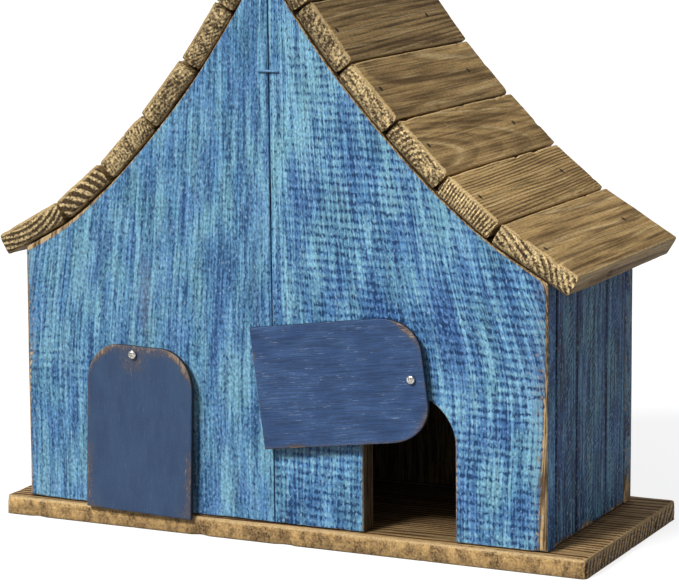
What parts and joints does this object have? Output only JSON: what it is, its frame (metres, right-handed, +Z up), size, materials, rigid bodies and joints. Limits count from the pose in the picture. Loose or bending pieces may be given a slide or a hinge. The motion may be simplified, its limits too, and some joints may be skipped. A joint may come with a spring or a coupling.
{
  "type": "birdhouse",
  "caption": "Gabled wooden birdhouse with a steep swept plank roof, painted board walls, arched front doorways and flap doors that swing on single screws, on a flat base.",
  "frame": {"origin": "centre of the base board's underside, on the surface that the birdhouse stands on", "axes": "+Z up, +X right as seen from the front, front wall and doors face -Y, doors swing about Y"},
  "size_m": [0.3399, 0.1572, 0.3223],
  "materials": {
    "front_paint": "pine with worn light and dark blue chalky paint, saw marks and bare edges",
    "side_paint": "pine with worn dark blue chalky paint and slanted saw marks",
    "door_paint": "thin board with flat slate blue paint, fine scratches and rubbed brown edges",
    "roof_wood": "walnut-stained, brushed softwood with paler worn edges and rough end grain",
    "base_wood": "walnut-stained softwood with a pale, mottled front edge",
    "dark_steel": "dark, dull wire",
    "bright_steel": "bright zinc, scratched",
    "painted_staple": "steel wire painted over with the wall"
  },
  "bodies": {
    "house": {"base_board": "base_wood", "front_board_left": "front_paint", "back_board_left": "side_paint", "front_board_right": "front_paint", "back_board_right": "side_paint", "left_side_board_front": "side_paint", "left_side_board_middle": "side_paint", "left_side_board_rear": "side_paint", "right_side_board_front": "side_paint", "right_side_board_middle": "side_paint", "right_side_board_rear": "side_paint", "left_roof_plank_1": "roof_wood", "left_roof_plank_2": "roof_wood", "left_roof_plank_3": "roof_wood", "left_roof_plank_4": "roof_wood", "left_roof_plank_5": "roof_wood", "left_roof_plank_6": "roof_wood", "right_roof_plank_1": "roof_wood", "right_roof_plank_2": "roof_wood", "right_roof_plank_3": "roof_wood", "right_roof_plank_4": "roof_wood", "right_roof_plank_5": "roof_wood", "right_roof_plank_6": "roof_wood", "left_roof_brad_1_front": "dark_steel", "left_roof_brad_1_back": "dark_steel", "left_roof_brad_2_front": "dark_steel", "left_roof_brad_2_back": "dark_steel", "left_roof_brad_3_front": "dark_steel", "left_roof_brad_3_back": "dark_steel", "left_roof_brad_4_front": "dark_steel", "left_roof_brad_4_back": "dark_steel", "left_roof_brad_5_front": "dark_steel", "left_roof_brad_5_back": "dark_steel", "left_roof_brad_6_front": "dark_steel", "left_roof_brad_6_back": "dark_steel", "right_roof_brad_1_front": "dark_steel", "right_roof_brad_1_back": "dark_steel", "right_roof_brad_2_front": "dark_steel", "right_roof_brad_2_back": "dark_steel", "right_roof_brad_3_front": "dark_steel", "right_roof_brad_3_back": "dark_steel", "right_roof_brad_4_front": "dark_steel", "right_roof_brad_4_back": "dark_steel", "right_roof_brad_5_front": "dark_steel", "right_roof_brad_5_back": "dark_steel", "right_roof_brad_6_front": "dark_steel", "right_roof_brad_6_back": "dark_steel", "base_nail_front_left": "dark_steel", "base_nail_front_right": "dark_steel", "base_nail_back_left": "dark_steel", "base_nail_back_right": "dark_steel", "left_door_screw": "bright_steel", "right_door_screw": "bright_steel", "left_door_spacer": "dark_steel", "right_door_spacer": "dark_steel", "joint_staple": "painted_staple"},
    "left_door": {"left_door": "door_paint"},
    "right_door": {"right_door": "door_paint"}
  },
  "joints": [
    {"name": "left_door_swing", "type": "hinge", "parent": "house", "child": "left_door", "pos_m": [-0.0856, -0.0708, 0.0953], "axis": [0, 1, 0], "range_deg": [-30, 178.6]},
    {"name": "right_door_swing", "type": "hinge", "parent": "house", "child": "right_door", "pos_m": [0.0753, -0.0708, 0.0948], "axis": [0, 1, 0], "range_deg": [-82.3, 97.7]}
  ]
}
